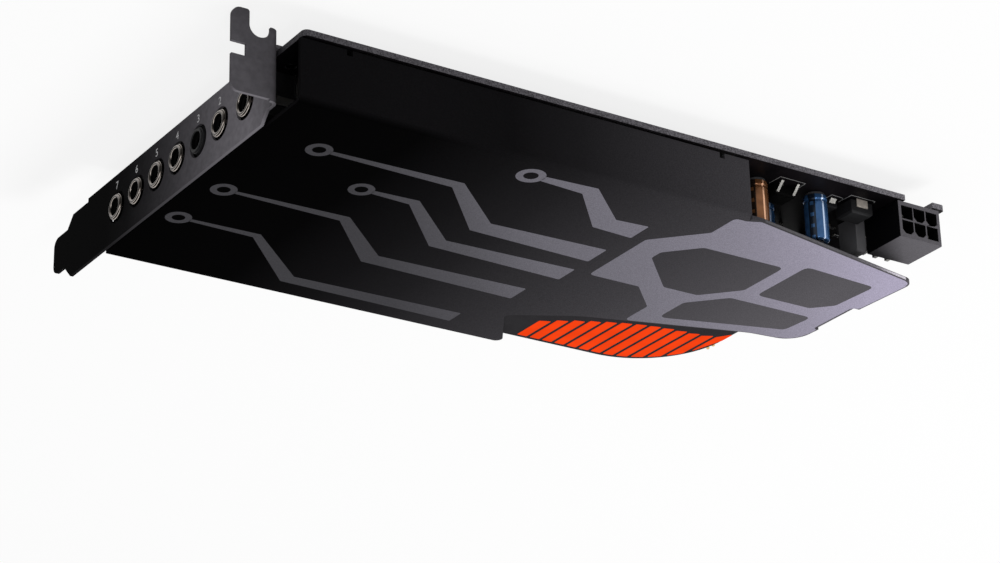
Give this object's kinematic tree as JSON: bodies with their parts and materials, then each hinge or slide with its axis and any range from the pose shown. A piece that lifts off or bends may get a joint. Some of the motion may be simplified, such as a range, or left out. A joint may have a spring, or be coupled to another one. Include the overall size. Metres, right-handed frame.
{
  "type": "pci sound card",
  "caption": "Full-length sound card with a printed cover, a tinted window, a slotted steel bracket, round audio jacks and a power socket at its free end.",
  "frame": {"origin": "centre of the case screw's notch, on the underside of the bracket's tab, which seats on the case's ledge", "axes": "+X along the card away from the bracket, +Y towards the card's free near edge, away from the slot, +Z out of the component face"},
  "size_m": [0.2095, 0.1293, 0.0253],
  "materials": {
    "board": "laminate with a dark solder mask",
    "gilt": "flat gold plating",
    "bracket_steel": "dark nickel plate",
    "cover_print": "dark printed sheet with grey and lilac bands",
    "window_print": "tinted orange plate with dark slots",
    "nickel": "nickel plate",
    "black_screws": "black oxide",
    "jack_plastic": "moulded black",
    "ring_gilt": "turned and gold plated",
    "sleeve_plastic": "moulded black",
    "socket_plastic": "moulded black",
    "tin": "tin plate",
    "bronze_sleeve": "bronze sleeve",
    "blue_sleeve": "blue sleeve",
    "bung_rubber": "matt rubber",
    "can_aluminium": "drawn can",
    "base_plastic": "moulded black",
    "chip_epoxy": "moulded epoxy",
    "relay_plastic": "moulded black",
    "film_plastic": "dipped red",
    "ferrite": "pressed ferrite",
    "lamp_plastic": "milky plastic",
    "ceramic": "fired ceramic",
    "resistor_film": "glazed black",
    "header_plastic": "moulded black"
  },
  "bodies": {
    "root": {"circuit_board": "board", "bus_contacts_component_side": "gilt", "bus_contacts_solder_side": "gilt", "mounting_bracket": "bracket_steel", "cover": "cover_print", "window_plate": "window_print", "cover_pillars": "nickel", "cover_screws": "black_screws", "bracket_screws": "nickel", "jack_housings": "jack_plastic", "black_jack_housing": "jack_plastic", "jack_rings": "ring_gilt", "black_jack_sleeve": "sleeve_plastic", "jack_springs": "nickel", "power_socket_housing": "socket_plastic", "power_socket_pins": "tin", "bronze_capacitors": "bronze_sleeve", "blue_capacitors": "blue_sleeve", "capacitor_bungs": "bung_rubber", "small_capacitors": "can_aluminium", "small_capacitor_bases": "base_plastic", "audio_processor": "chip_epoxy", "audio_processor_legs": "tin", "bus_controller": "chip_epoxy", "audio_converters": "chip_epoxy", "audio_converter_legs": "tin", "amplifier_chips": "chip_epoxy", "amplifier_chip_legs": "tin", "output_relays": "relay_plastic", "film_capacitors": "film_plastic", "black_film_capacitor": "relay_plastic", "large_coil": "ferrite", "large_coil_clips": "tin", "power_regulator": "chip_epoxy", "power_regulator_legs": "tin", "rectifier_diode": "chip_epoxy", "rectifier_diode_tabs": "tin", "choke_coils": "ferrite", "choke_coil_blades": "tin", "clock_crystals": "can_aluminium", "regulators": "chip_epoxy", "regulator_tabs": "tin", "window_lamps": "lamp_plastic", "ceramic_capacitors": "ceramic", "chip_resistors": "resistor_film", "front_panel_header": "header_plastic", "front_panel_pins": "gilt"}
  },
  "joints": []
}
